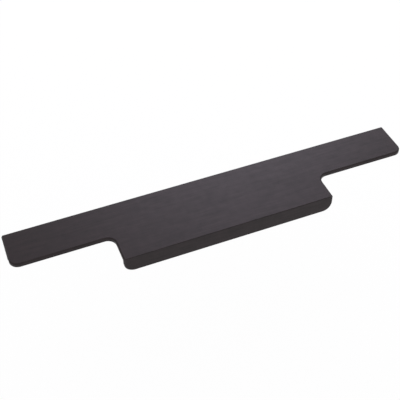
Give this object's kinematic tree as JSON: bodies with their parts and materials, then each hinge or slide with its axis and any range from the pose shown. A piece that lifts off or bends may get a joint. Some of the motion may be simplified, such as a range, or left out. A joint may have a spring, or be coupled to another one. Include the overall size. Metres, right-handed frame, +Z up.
{
  "type": "sliding door edge pull",
  "caption": "Long black edge pull for a sliding cupboard door: a flat stepped plate with a downturned finger lip in the middle and a screw flange behind.",
  "frame": {"origin": "middle of the line through the two screw holes, on the face of the flange that meets the back of the door", "axes": "+X along the handle, -Y towards the room and the finger lip, +Z up from the door's edge"},
  "size_m": [0.2, 0.0356, 0.015],
  "materials": {
    "black_anodised_aluminium": "satin black anodised, brushed along the length"
  },
  "bodies": {
    "root": {"handle": "black_anodised_aluminium"}
  },
  "joints": []
}
